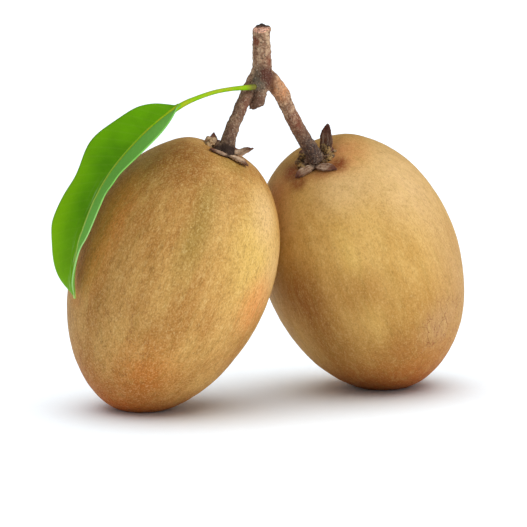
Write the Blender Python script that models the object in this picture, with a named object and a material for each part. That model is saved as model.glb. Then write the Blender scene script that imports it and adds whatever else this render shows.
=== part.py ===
"""A pair of sapodillas as picked: two fruits, their calyces, the cut twig that joins them and one leaf.

Metres, +Z up. The pair rests on the surface z = 0 on a small flat spot under each fruit. The origin is
on that surface, under the middle of the pair's box. -Y is the front, +X is to the right from there.
"""

import math
from dataclasses import dataclass

import bmesh
import bpy
from mathutils import Matrix, Vector

MM = 0.001

# Places below are measured from the point of the surface that lies under the fork of the twig.
FORK_FOOT = Vector((-0.5, -15.2, 0.0)) * MM

# Clear gap between pieces that touch.
GAP = 0.3 * MM
# How far the flesh has settled flat where a fruit rests.
REST_DEPTH = 1.1 * MM

# The hollow round the stem at the top of each fruit.
DIMPLE_DEPTH = 2.4 * MM
DIMPLE_REACH = 7.0 * MM

FRUIT_SEGMENTS = 40
FRUIT_RINGS = 32
# Above 1 crowds the rings towards the stem, where the hollow needs them.
RING_CROWDING = 1.3


@dataclass
class Fruit:
    """One egg-shaped fruit, its long axis running from the blossom end up to the stem end."""

    name: str
    length: float
    width: float
    taper: float  # 1 is an ellipse, above 1 has a sharper blossom end and stem end
    crown: float  # how much broader the stem half is than the blossom half
    middle: tuple  # where the middle of the fruit stands, right and back of the fork
    lean_right: float  # degrees that the stem end leans to the right
    lean_front: float  # degrees that the stem end leans to the front
    stem_shift: tuple  # how far the stem sits right and back of the long axis


FRUITS = [
    Fruit("left", 78.4 * MM, 53.5 * MM, 1.03, 0.065, (-25.0 * MM, 0.0 * MM), 21.5, 4.0, (0.9 * MM, -0.3 * MM)),
    Fruit("right", 77.4 * MM, 55.2 * MM, 0.95, 0.04, (27.6 * MM, 28.8 * MM), -21.2, 20.1, (-1.1 * MM, -2.6 * MM)),
]

# Round plate at the foot of each stem that carries the sepals.
PLATE_RADIUS = 2.7 * MM
PLATE_TOP_RADIUS = 2.48 * MM
PLATE_THICKNESS = 0.9 * MM
PLATE_SIDES = 18

SEPAL_WIDTH = 3.3 * MM
SEPAL_THICKNESS = 0.6 * MM
SEPAL_ROOT = 2.1 * MM
SEPAL_ROWS = 6
SEPAL_COLUMNS = 5
SEPAL_CUP = 0.35
# The outline from root to tip is the end of a half wave: where it starts in that wave and how blunt it
# is, and the share of the width left at the tip.
SEPAL_OUTLINE_START = 0.22
SEPAL_BLUNTNESS = 0.8
SEPAL_TIP_SHARE = 0.16
# A sepal has bent up by its full lift at this share of its length.
SEPAL_BEND_END = 0.56
SEPAL_CLEARANCE = 0.4 * MM
# One entry for each sepal: bearing round the stem from the front towards the right, in degrees,
# length, and how far its tip has lifted off the skin, in degrees.
SEPALS = {
    "left": [
        (-158, 4.8 * MM, 14),
        (-102, 5.0 * MM, 54),
        (-36, 3.8 * MM, 2),
        (50, 6.0 * MM, 0),
        (98, 5.6 * MM, 56),
        (150, 5.2 * MM, 14),
    ],
    "right": [
        (-150, 4.8 * MM, 16),
        (-104, 4.2 * MM, 10),
        (-58, 6.0 * MM, 0),
        (32, 6.8 * MM, 0),
        (84, 5.4 * MM, 20),
        (134, 7.8 * MM, 66),
    ],
}

TUBE_SIDES = 10
STALK_SIDES = 8
STEPS_PER_SPAN = 3

# The cut trunk of the twig, top to bottom: place right, back and up, and radius, in millimetres.
TRUNK = [
    (-0.6, 2.0, 103.6, 2.15),
    (-0.4, 3.0, 98.6, 2.35),
    (-0.3, 3.9, 94.0, 2.45),
    (-0.4, 4.6, 90.0, 2.75),
    (-0.5, 5.0, 86.2, 2.35),
]
# The two fruit stems, from inside the fork down to the last bend before each fruit.
STEMS = {
    "left": [
        (-1.2, 5.2, 91.4, 1.6),
        (-3.6, 4.4, 87.6, 1.6),
        (-5.4, 2.4, 84.0, 1.35),
        (-7.1, -0.2, 79.8, 1.4),
        (-8.3, -1.6, 76.8, 1.5),
    ],
    "right": [
        (0.3, 5.2, 91.2, 1.8),
        (2.8, 6.0, 87.9, 2.1),
        (5.0, 7.0, 84.6, 1.75),
        (6.8, 8.4, 80.6, 1.5),
        (8.9, 10.2, 76.4, 1.55),
        (10.9, 11.7, 72.8, 1.7),
    ],
}
STEM_FOOT_LENGTH = 2.2 * MM
STEM_NECK_RADIUS = 2.0 * MM
STEM_FOOT_RADIUS = 2.5 * MM
# The broken stub of a third stem between them.
STUB = [(-0.4, 4.8, 88.0, 1.7), (-1.1, 3.6, 84.8, 1.6), (-1.9, 2.6, 81.7, 1.7)]
# The low pad that the leaf stalk springs from, and the stalk itself out to the blade.
LEAF_PAD = [(-0.7, 4.4, 87.5, 1.3), (-3.0, 1.2, 87.4, 1.1)]
STALK = [
    (-5.2, -0.8, 87.3, 0.82),
    (-8.8, -1.7, 87.0, 0.75),
    (-13.0, -3.0, 86.3, 0.72),
    (-17.8, -4.8, 84.8, 0.72),
]
STALK_ROOT_RADIUS = 0.95 * MM

# The midrib from the foot of the blade to its tip, in millimetres: right, back and up.
MIDRIB = [
    (-22.1, -6.4, 83.1),
    (-27.0, -8.2, 79.6),
    (-31.7, -9.6, 75.5),
    (-37.2, -11.0, 69.6),
    (-41.1, -12.2, 64.4),
    (-44.5, -13.4, 58.2),
    (-47.4, -14.4, 50.9),
    (-48.8, -14.8, 46.2),
    (-49.9, -15.2, 38.5),
    (-49.7, -15.0, 32.8),
]
LEAF_HALF_WIDTH = 9.9 * MM
LEAF_THICKNESS = 0.6 * MM
LEAF_FOOT_HALF_WIDTH = 0.6 * MM
LEAF_TIP_HALF_WIDTH = 0.35 * MM
# A lower fullness keeps the blade broad for more of its length.
LEAF_FULLNESS = 0.5
LEAF_FOOT_POINT = 20
LEAF_TIP_POINT = 12
# How far each half of the blade turns from facing the front, in degrees, at its foot and at its tip.
LEFT_HALF_TURN = (30, 34)
RIGHT_HALF_TURN = (68, 88)
# Height of the waves across the blade, how many there are from foot to tip, and how far those of one
# edge run ahead of the other.
LEAF_WAVE = 0.4 * MM
LEAF_WAVES = 2.2
LEAF_WAVE_SLANT = 0.3
LEAF_STEPS_PER_SPAN = 2
LEAF_COLUMNS_EACH_SIDE = 4
RIB_RADIUS_FOOT = 0.75 * MM
RIB_RADIUS_TIP = 0.4 * MM
RIB_DROP = 0.25 * MM
RIB_END = 0.94

# Edges that turn by more than this stay sharp.
SHARP_TURN = math.radians(40)

SKIN_BROWN = (0.44, 0.25, 0.09)
BARK_BROWN = (0.19, 0.115, 0.075)
SEPAL_BROWN = (0.16, 0.10, 0.075)
LEAF_GREEN = (0.10, 0.30, 0.02)


def finish(name, colour, roughness):
    """A plain finish in one colour."""
    material = bpy.data.materials.new(name)
    material.use_nodes = True
    shader = material.node_tree.nodes["Principled BSDF"]
    shader.inputs["Base Color"].default_value = (*colour, 1.0)
    shader.inputs["Roughness"].default_value = roughness
    shader.inputs["Metallic"].default_value = 0.0
    return material


def place(millimetres):
    """A point from its place in millimetres round the foot of the fork."""
    return FORK_FOOT + Vector(millimetres) * MM


def upright(point, axis):
    """A frame at the point with +Z along the axis, +X to the right and +Y to the back."""
    up = axis.normalized()
    right = Vector((0, 1, 0)).cross(up).normalized()
    back = up.cross(right)
    turn = Matrix((right, back, up)).transposed()
    return Matrix.Translation(point) @ turn.to_4x4()


def add_object(name, mesh, frame=None, material=None):
    """A named object from a bmesh in world places, moved into its own frame."""
    bmesh.ops.recalc_face_normals(mesh, faces=mesh.faces)
    if frame is not None:
        bmesh.ops.transform(mesh, matrix=frame.inverted(), verts=mesh.verts)
    data = bpy.data.meshes.new(name)
    mesh.to_mesh(data)
    mesh.free()
    data.shade_smooth()
    data.set_sharp_from_angle(angle=SHARP_TURN)
    if material is not None:
        data.materials.append(material)
    made = bpy.data.objects.new(name, data)
    bpy.context.scene.collection.objects.link(made)
    if frame is not None:
        made.matrix_world = frame
    return made


def fuse(base, pieces):
    """Joins the pieces to the base in one solid, then removes them."""
    group = bpy.data.collections.new(base.name + "_pieces")
    bpy.context.scene.collection.children.link(group)
    for piece in pieces:
        bpy.context.scene.collection.objects.unlink(piece)
        group.objects.link(piece)
    union = base.modifiers.new("union", "BOOLEAN")
    union.operation = "UNION"
    union.operand_type = "COLLECTION"
    union.collection = group
    union.solver = "EXACT"
    bpy.context.view_layer.update()
    with bpy.context.temp_override(object=base, active_object=base):
        bpy.ops.object.modifier_apply(modifier=union.name)
    for piece in pieces:
        bpy.data.objects.remove(piece)
    bpy.data.collections.remove(group)
    return base


def smooth_route(knots, steps=STEPS_PER_SPAN):
    """Points on a smooth curve through the knots. A knot is a place, or a place with a radius after it."""
    knots = [Vector(knot) for knot in knots]
    ends = [knots[0] * 2 - knots[1]] + knots + [knots[-1] * 2 - knots[-2]]
    route = []
    for before, start, stop, after in zip(ends, ends[1:], ends[2:], ends[3:]):
        for step in range(steps):
            t = step / steps
            route.append(
                (
                    start * 2
                    + (stop - before) * t
                    + (before * 2 - start * 5 + stop * 4 - after) * t**2
                    + (start * 3 - stop * 3 + after - before) * t**3
                )
                / 2
            )
    return route + [knots[-1]]


def tube(name, knots, sides=TUBE_SIDES, material=None):
    """A closed round tube along a smooth curve through the knots, each a place and a radius."""
    route = smooth_route(knots)
    centres = [point.to_3d() for point in route]
    mesh = bmesh.new()
    rings = []
    side = None
    for index, centre in enumerate(centres):
        ahead = centres[min(index + 1, len(centres) - 1)]
        behind = centres[max(index - 1, 0)]
        along = (ahead - behind).normalized()
        side = along.orthogonal() if side is None else side - along * side.dot(along)
        side.normalize()
        other = along.cross(side)
        radius = route[index][3]
        angles = [math.tau * corner / sides for corner in range(sides)]
        rings.append([mesh.verts.new(centre + (side * math.cos(a) + other * math.sin(a)) * radius) for a in angles])
    for first, second in zip(rings, rings[1:]):
        for corner in range(sides):
            after = (corner + 1) % sides
            mesh.faces.new((first[corner], first[after], second[after], second[corner]))
    mesh.faces.new(list(reversed(rings[0])))
    mesh.faces.new(rings[-1])
    return add_object(name, mesh, material=material)


def knots_of(rows):
    """Knots in metres from rows of place and radius in millimetres."""
    return [(*place(row[:3]), row[3] * MM) for row in rows]


def blade(name, grid, thickness, material=None):
    """A thin closed solid on a grid of points, split into triangles alike on both faces."""
    rows, columns = len(grid), len(grid[0])
    mesh = bmesh.new()
    upper, lower = {}, {}
    for i in range(rows):
        for j in range(columns):
            down = grid[min(i + 1, rows - 1)][j] - grid[max(i - 1, 0)][j]
            across = grid[i][min(j + 1, columns - 1)] - grid[i][max(j - 1, 0)]
            lift = down.cross(across).normalized() * thickness / 2
            upper[i, j] = mesh.verts.new(grid[i][j] + lift)
            lower[i, j] = mesh.verts.new(grid[i][j] - lift)
    for i in range(rows - 1):
        for j in range(columns - 1):
            corners = ((i, j), (i, j + 1), (i + 1, j + 1), (i + 1, j))
            for three in (corners[:3], (corners[0], corners[2], corners[3])):
                mesh.faces.new([upper[at] for at in three])
                mesh.faces.new([lower[at] for at in reversed(three)])
    rim = [(0, j) for j in range(columns - 1)]
    rim += [(i, columns - 1) for i in range(rows - 1)]
    rim += [(rows - 1, j) for j in range(columns - 1, 0, -1)]
    rim += [(i, 0) for i in range(rows - 1, 0, -1)]
    for at, after in zip(rim, rim[1:] + rim[:1]):
        mesh.faces.new((upper[after], upper[at], lower[at], lower[after]))
    return add_object(name, mesh, material=material)


def egg_ring(fruit, turn):
    """Radius and height of the fruit's skin at a turn from the blossom end (0) to the stem end (pi)."""
    radius = fruit.width / 2 * math.sin(turn) ** fruit.taper * (1 - fruit.crown * math.cos(turn))
    return radius, -math.cos(turn) * fruit.length / 2


def dimple(fruit, x, y):
    """How deep the hollow round the stem is at a place across the fruit."""
    away = math.hypot(x - fruit.stem_shift[0], y - fruit.stem_shift[1])
    return DIMPLE_DEPTH * math.exp(-((away / DIMPLE_REACH) ** 2))


def shoulder(fruit, x, y):
    """Height of the skin at a place across the stem end of the fruit."""
    widest = fruit.width / 2 * (1 + fruit.crown)
    turn = math.pi - math.asin((math.hypot(x, y) / widest) ** (1 / fruit.taper))
    return egg_ring(fruit, turn)[1] - dimple(fruit, x, y)


def egg_mesh(fruit):
    """The whole skin in the fruit's own frame, as a ball drawn out to the egg's profile."""
    mesh = bmesh.new()
    bmesh.ops.create_uvsphere(mesh, u_segments=FRUIT_SEGMENTS, v_segments=FRUIT_RINGS, radius=1.0)
    for corner in mesh.verts:
        share = math.acos(max(-1.0, min(1.0, -corner.co.z))) / math.pi
        turn = math.pi * (1 - (1 - share) ** RING_CROWDING)
        around = math.atan2(corner.co.y, corner.co.x)
        radius, height = egg_ring(fruit, turn)
        x, y = radius * math.cos(around), radius * math.sin(around)
        if turn > math.pi / 2:
            height -= dimple(fruit, x, y)
        corner.co = (x, y, height)
    return mesh


def fruit_frame(fruit):
    """Where the middle of the fruit stands and how its long axis leans."""
    axis = Vector((math.tan(math.radians(fruit.lean_right)), -math.tan(math.radians(fruit.lean_front)), 1.0))
    level = upright(Vector((0, 0, 0)), axis)
    mesh = egg_mesh(fruit)
    lowest = min((level @ corner.co).z for corner in mesh.verts)
    mesh.free()
    middle = FORK_FOOT + Vector((*fruit.middle, -lowest - REST_DEPTH))
    return upright(middle, axis)


def stem_frame(fruit):
    """The frame on the skin where the stem meets the fruit, +Z out along the stem."""
    height = shoulder(fruit, *fruit.stem_shift)
    slope = fruit.length / 2 / (fruit.width / 2) ** 2
    outward = Vector((fruit.stem_shift[0] * slope, fruit.stem_shift[1] * slope, 1.0))
    frame = fruit_frame(fruit)
    return upright(frame @ Vector((*fruit.stem_shift, height)), frame.to_3x3() @ outward)


def make_fruit(fruit, skin):
    """The fruit in one piece, flat where it rests."""
    frame = fruit_frame(fruit)
    mesh = egg_mesh(fruit)
    bmesh.ops.transform(mesh, matrix=frame, verts=mesh.verts)
    cut = bmesh.ops.bisect_plane(
        mesh,
        geom=mesh.verts[:] + mesh.edges[:] + mesh.faces[:],
        dist=1e-7,
        plane_co=(0, 0, 0),
        plane_no=(0, 0, 1),
        clear_inner=True,
    )
    rim = [part for part in cut["geom_cut"] if isinstance(part, bmesh.types.BMEdge)]
    bmesh.ops.contextual_create(mesh, geom=rim)
    return add_object("fruit_" + fruit.name, mesh, frame, skin)


def above_skin(fruit, point):
    """The point, raised along the fruit where a sepal there would cut into the skin."""
    frame = fruit_frame(fruit)
    inside = frame.inverted() @ point
    floor = shoulder(fruit, inside.x, inside.y) + SEPAL_CLEARANCE + SEPAL_THICKNESS / 2
    return frame @ Vector((inside.x, inside.y, max(inside.z, floor)))


def sepal_grid(fruit, bearing, length, lift):
    """Points on the middle surface of one sepal: a pointed oval, cupped, its tip lifting off the skin."""
    frame = stem_frame(fruit)
    around = math.radians(bearing)
    outward = Vector((math.sin(around), -math.cos(around), 0))
    side = Vector((math.cos(around), math.sin(around), 0))
    up = Vector((0, 0, 1))
    centre = outward * SEPAL_ROOT + up * (GAP + PLATE_THICKNESS / 2)
    grid = []
    for row in range(SEPAL_ROWS + 1):
        share = row / SEPAL_ROWS
        rise = math.radians(lift) * min(1.0, share / SEPAL_BEND_END)
        along = outward * math.cos(rise) + up * math.sin(rise)
        crown = up * math.cos(rise) - outward * math.sin(rise)
        turn = math.pi * (SEPAL_OUTLINE_START + (1 - SEPAL_OUTLINE_START) * share)
        half = SEPAL_WIDTH / 2 * max(SEPAL_TIP_SHARE, math.sin(turn) ** SEPAL_BLUNTNESS)
        spread = [2 * column / (SEPAL_COLUMNS - 1) - 1 for column in range(SEPAL_COLUMNS)]
        bowed = [centre + side * half * s + crown * half * SEPAL_CUP * s * s for s in spread]
        grid.append([above_skin(fruit, frame @ point) for point in bowed])
        centre = centre + along * (length / SEPAL_ROWS)
    return grid


def make_calyx(fruit, brown):
    """The dry plate at the foot of the stem with its six sepals."""
    frame = stem_frame(fruit)
    foot = frame @ Vector((0, 0, GAP))
    top = frame @ Vector((0, 0, GAP + PLATE_THICKNESS))
    plate = tube("calyx_" + fruit.name, [(*foot, PLATE_RADIUS), (*top, PLATE_TOP_RADIUS)], PLATE_SIDES, brown)
    sepals = [
        blade(f"sepal_{number}", sepal_grid(fruit, *sepal), SEPAL_THICKNESS)
        for number, sepal in enumerate(SEPALS[fruit.name])
    ]
    return fuse(plate, sepals)


def stem_knots(fruit):
    """A fruit stem from inside the fork to the plate of its calyx, which it meets squarely."""
    frame = stem_frame(fruit)
    face = 2 * GAP + PLATE_THICKNESS
    neck = frame @ Vector((0, 0, face + STEM_FOOT_LENGTH))
    foot = frame @ Vector((0, 0, face))
    return knots_of(STEMS[fruit.name]) + [(*neck, STEM_NECK_RADIUS), (*foot, STEM_FOOT_RADIUS)]


def make_twig(bark):
    """The cut twig: trunk, two fruit stems, a broken stub and the pad under the leaf stalk, in one piece."""
    twig = tube("twig", knots_of(TRUNK), material=bark)
    limbs = [tube("stem_" + fruit.name, stem_knots(fruit)) for fruit in FRUITS]
    limbs.append(tube("stub", knots_of(STUB)))
    limbs.append(tube("leaf_pad", knots_of(LEAF_PAD)))
    return fuse(twig, limbs)


def leaf_half_width(share):
    """Half the blade's width at a share of its length: a long oval, narrow at the foot."""
    oval = LEAF_HALF_WIDTH * max(0.0, math.sin(math.pi * share)) ** LEAF_FULLNESS
    oval *= (1 - share**LEAF_TIP_POINT) * (1 - (1 - share) ** LEAF_FOOT_POINT)
    return max(oval, LEAF_FOOT_HALF_WIDTH * (1 - share) + LEAF_TIP_HALF_WIDTH * share)


def leaf_grid(route):
    """Points on the middle surface of the blade, folded up along its midrib and waved at its edges."""
    grid = []
    for row, centre in enumerate(route):
        share = row / (len(route) - 1)
        along = (route[min(row + 1, len(route) - 1)] - route[max(row - 1, 0)]).normalized()
        right = Vector((0, -1, 0)).cross(along).normalized()
        front = right.cross(along).normalized()
        if front.y > 0:
            front.negate()
        half = leaf_half_width(share)
        points = []
        for column in range(-LEAF_COLUMNS_EACH_SIDE, LEAF_COLUMNS_EACH_SIDE + 1):
            out = column / LEAF_COLUMNS_EACH_SIDE
            foot, tip = RIGHT_HALF_TURN if out > 0 else LEFT_HALF_TURN
            angle = math.radians(foot + (tip - foot) * share)
            reach = right * math.cos(angle) + front * math.sin(angle)
            face = front * math.cos(angle) - right * math.sin(angle)
            wave = LEAF_WAVE * out**2 * math.sin(math.tau * (LEAF_WAVES * share + LEAF_WAVE_SLANT * out))
            points.append(centre + reach * half * out + face * wave)
        grid.append(points)
    return grid


def make_leaf(green):
    """The leaf in one piece: its blade on a stalk that runs on under it as the midrib."""
    knots = [place(knot) for knot in MIDRIB]
    route = [point.to_3d() for point in smooth_route(knots, LEAF_STEPS_PER_SPAN)]
    grid = leaf_grid(route)
    leaf = blade("leaf", grid, LEAF_THICKNESS, green)
    middle = LEAF_COLUMNS_EACH_SIDE
    pad_start, pad_end = [Vector(knot[:3]) for knot in knots_of(LEAF_PAD)]
    away = (pad_end - pad_start).normalized()
    square = [pad_end + away * GAP, pad_end + away * (GAP + STALK_ROOT_RADIUS)]
    knots = [(*point, STALK_ROOT_RADIUS) for point in square] + knots_of(STALK)
    for row in range(0, round(len(grid) * RIB_END), LEAF_STEPS_PER_SPAN):
        share = row / (len(grid) - 1)
        across = grid[row][middle + 1] - grid[row][middle - 1]
        down = grid[row + 1][middle] - grid[max(row - 1, 0)][middle]
        lift = down.cross(across).normalized()
        radius = RIB_RADIUS_FOOT + (RIB_RADIUS_TIP - RIB_RADIUS_FOOT) * share
        knots.append((*(grid[row][middle] - lift * RIB_DROP), radius))
    stalk = tube("stalk", knots, STALK_SIDES)
    return fuse(leaf, [stalk])


def main():
    for old in list(bpy.data.objects):
        bpy.data.objects.remove(old)
    skin = finish("skin", SKIN_BROWN, 0.75)
    bark = finish("bark", BARK_BROWN, 0.9)
    brown = finish("dry_sepal", SEPAL_BROWN, 0.85)
    green = finish("leaf_green", LEAF_GREEN, 0.4)
    for fruit in FRUITS:
        make_fruit(fruit, skin)
        make_calyx(fruit, brown)
    make_twig(bark)
    make_leaf(green)


main()
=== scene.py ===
"""The looks of a pair of sapodillas as picked: two fruits, their dry calyces, the cut twig and one leaf.

Shapes are worked out in millimetres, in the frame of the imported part: +Z up, -Y the front, +X to the right.
"""

import math
from dataclasses import dataclass

import bmesh
import bpy
from mathutils import Matrix, Vector, kdtree, noise


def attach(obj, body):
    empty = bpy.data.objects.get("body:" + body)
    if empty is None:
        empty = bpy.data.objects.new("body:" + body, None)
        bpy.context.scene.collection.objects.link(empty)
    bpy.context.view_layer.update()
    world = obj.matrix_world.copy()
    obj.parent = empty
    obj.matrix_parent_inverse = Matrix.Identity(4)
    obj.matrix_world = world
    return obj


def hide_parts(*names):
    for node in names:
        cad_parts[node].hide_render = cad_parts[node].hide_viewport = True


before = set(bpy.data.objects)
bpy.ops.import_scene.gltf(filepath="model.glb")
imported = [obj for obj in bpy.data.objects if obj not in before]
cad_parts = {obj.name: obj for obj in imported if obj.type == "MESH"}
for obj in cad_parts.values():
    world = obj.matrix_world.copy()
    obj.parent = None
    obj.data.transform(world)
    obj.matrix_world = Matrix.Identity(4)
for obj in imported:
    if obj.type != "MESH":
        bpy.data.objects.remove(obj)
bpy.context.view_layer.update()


# The fruits

# Each fruit is one egg-shaped berry that grew whole: a thin tough skin under a dry sandy scurf. It hangs
# from its stem in the hollow on top, and its flesh has settled flat where it stands on its blossom end.

MM = 0.001
# Places round the twig are measured from the point of the floor under the fork.
FORK_FOOT = Vector((-0.5, -15.2, 0.0))

DIMPLE_DEPTH = 2.4
DIMPLE_REACH = 7.0
SKIN_RINGS = 250
SKIN_SEGMENTS = 330
RING_CROWDING = 1.3
# The skin is nowhere quite even: size and height of its broad swells, small dents and coarsest grain.
SKIN_RELIEF = ((17.0, 0.22), (3.2, 0.06), (1.1, 0.025))
# Broad lumps of each fruit in its own frame: place, reach and height.
LUMPS = {"left": [((-8.0, 0.0, 34.0), 5.0, 0.8)], "right": [((9.0, 2.0, 37.0), 7.0, 0.75)]}
# How gently the settled flat spot rounds up into the side, and up to how many times that height.
FLAT_ROUNDING = 0.15
FLAT_ROUNDING_REACH = 20


@dataclass
class Fruit:
    """One egg-shaped fruit, its long axis running from the blossom end up to the stem end."""

    name: str
    length: float
    width: float
    taper: float  # above 1 its ends are more pointed than an ellipse's, below 1 blunter
    crown: float  # how much fuller it is at the stem end
    middle: tuple  # right, back and up from the foot of the fork
    lean_right: float  # in degrees
    lean_front: float
    stem_shift: tuple  # how far right and back its stem stands off the long axis


FRUITS = [
    Fruit(
        "left",
        length=78.4,
        width=53.5,
        taper=1.03,
        crown=0.065,
        middle=(-25.0, 0.0, 36.37),
        lean_right=21.5,
        lean_front=4.0,
        stem_shift=(0.9, -0.3),
    ),
    Fruit(
        "right",
        length=77.4,
        width=55.2,
        taper=0.95,
        crown=0.04,
        middle=(27.6, 28.8, 35.48),
        lean_right=-21.2,
        lean_front=20.1,
        stem_shift=(-1.1, -2.6),
    ),
]


def from_fork(at):
    """A place given right, back and up from the foot of the fork."""
    return FORK_FOOT + Vector(at)


def upright(point, axis):
    """A frame at the point with +Z along the axis, +X to the right and +Y to the back."""
    up = axis.normalized()
    right = Vector((0, 1, 0)).cross(up).normalized()
    turn = Matrix((right, up.cross(right), up)).transposed()
    return Matrix.Translation(point) @ turn.to_4x4()


def egg_ring(fruit, turn):
    """Radius and height of the skin at a turn from the blossom end (0) to the stem end (pi)."""
    radius = fruit.width / 2 * math.sin(turn) ** fruit.taper * (1 - fruit.crown * math.cos(turn))
    return radius, -math.cos(turn) * fruit.length / 2


def dimple(fruit, x, y):
    """How deep the hollow round the stem is at a place across the fruit."""
    away = math.hypot(x - fruit.stem_shift[0], y - fruit.stem_shift[1])
    return DIMPLE_DEPTH * math.exp(-((away / DIMPLE_REACH) ** 2))


def shoulder(fruit, x, y):
    """Height of the skin at a place across the stem end of the fruit."""
    widest = fruit.width / 2 * (1 + fruit.crown)
    turn = math.pi - math.asin(min(1.0, math.hypot(x, y) / widest) ** (1 / fruit.taper))
    return egg_ring(fruit, turn)[1] - dimple(fruit, x, y)


def fruit_frame(fruit):
    """Where the middle of the fruit stands and how its long axis leans."""
    lean = Vector((math.tan(math.radians(fruit.lean_right)), -math.tan(math.radians(fruit.lean_front)), 1))
    return upright(from_fork(fruit.middle), lean)


def unevenness(point):
    """How far the skin stands off the smooth egg at a point."""
    return sum(noise.noise(point / size) * height for size, height in SKIN_RELIEF)


def lumps(fruit, point):
    """How far the broad lumps lift the skin at a point in the fruit's own frame."""
    lift = 0.0
    for at, reach, height in LUMPS[fruit.name]:
        lift += height * math.exp(-(((point - Vector(at)).length / reach) ** 2))
    return lift


def skin_point(fruit, placed, turn, around):
    """A point of the skin in the fruit's own frame, flat where the fruit rests on the floor."""
    radius, height = egg_ring(fruit, turn)
    point = Vector((radius * math.cos(around), radius * math.sin(around), height))
    if turn > math.pi / 2:
        point.z -= dimple(fruit, point.x, point.y)
    out = Vector((point.x, point.y, height * (fruit.width / fruit.length) ** 2)).normalized()
    point += out * (unevenness(placed @ point) + lumps(fruit, point))
    stood = placed @ point
    if stood.z < FLAT_ROUNDING * FLAT_ROUNDING_REACH:
        stood.z = FLAT_ROUNDING * math.log1p(math.exp(stood.z / FLAT_ROUNDING))
    return stood


def skin_mesh(fruit):
    """The whole skin as rings from the blossom end to the stem end."""
    placed = fruit_frame(fruit)
    mesh = bmesh.new()
    rings = []
    for ring in range(1, SKIN_RINGS):
        turn = math.pi * (1 - (1 - ring / SKIN_RINGS) ** RING_CROWDING)
        angles = [math.tau * step / SKIN_SEGMENTS for step in range(SKIN_SEGMENTS)]
        rings.append([mesh.verts.new(skin_point(fruit, placed, turn, around)) for around in angles])
    low = mesh.verts.new(skin_point(fruit, placed, 0.0, 0.0))
    high = mesh.verts.new(skin_point(fruit, placed, math.pi, 0.0))
    for step in range(SKIN_SEGMENTS):
        after = (step + 1) % SKIN_SEGMENTS
        mesh.faces.new((low, rings[0][after], rings[0][step]))
        mesh.faces.new((high, rings[-1][step], rings[-1][after]))
        for first, second in zip(rings, rings[1:]):
            mesh.faces.new((first[step], first[after], second[after], second[step]))
    return mesh


def add_object(name, mesh, finish):
    """An object from a mesh in millimetres, with its finish."""
    bmesh.ops.scale(mesh, vec=(MM, MM, MM), verts=mesh.verts)
    data = bpy.data.meshes.new(name)
    mesh.to_mesh(data)
    mesh.free()
    data.shade_smooth()
    data.materials.append(finish.material)
    made = bpy.data.objects.new(name, data)
    bpy.context.scene.collection.objects.link(made)
    return made


class Wire:
    """A number, colour or place that varies over a surface. Sums and products of it add Math nodes."""

    def __init__(self, finish, socket):
        self.finish = finish
        self.socket = socket

    def maths(self, operation, *terms):
        return self.finish.node("Math", {"operation": operation}, dict(enumerate(terms)))

    def __add__(self, other):
        return self.maths("ADD", self, other)

    def __sub__(self, other):
        return self.maths("SUBTRACT", self, other)

    def __rsub__(self, other):
        return self.maths("SUBTRACT", other, self)

    def __mul__(self, other):
        return self.maths("MULTIPLY", self, other)

    def __abs__(self):
        return self.maths("ABSOLUTE", self)

    def cosine(self):
        return self.maths("COSINE", self)

    __radd__ = __add__
    __rmul__ = __mul__


def tint(red, green, blue):
    """A colour as the shader takes it, from its eight-bit values."""
    levels = [level / 255 for level in (red, green, blue)]
    return (*[((level + 0.055) / 1.055) ** 2.4 for level in levels], 1.0)


# Sockets of the node that mixes colours: its share, its two colours and its result.
MIX_SHARE, MIX_FIRST, MIX_SECOND = 0, 6, 7
MIX_RESULT = 2
# How much each finer octave of the noise adds, and how soft the specks and the patches are at the edge.
NOISE_ROUGHNESS = 0.6
SPECK_SOFTNESS = 3
FIRM_EDGE = 0.35
SOFT_EDGE = 0.1


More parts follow.
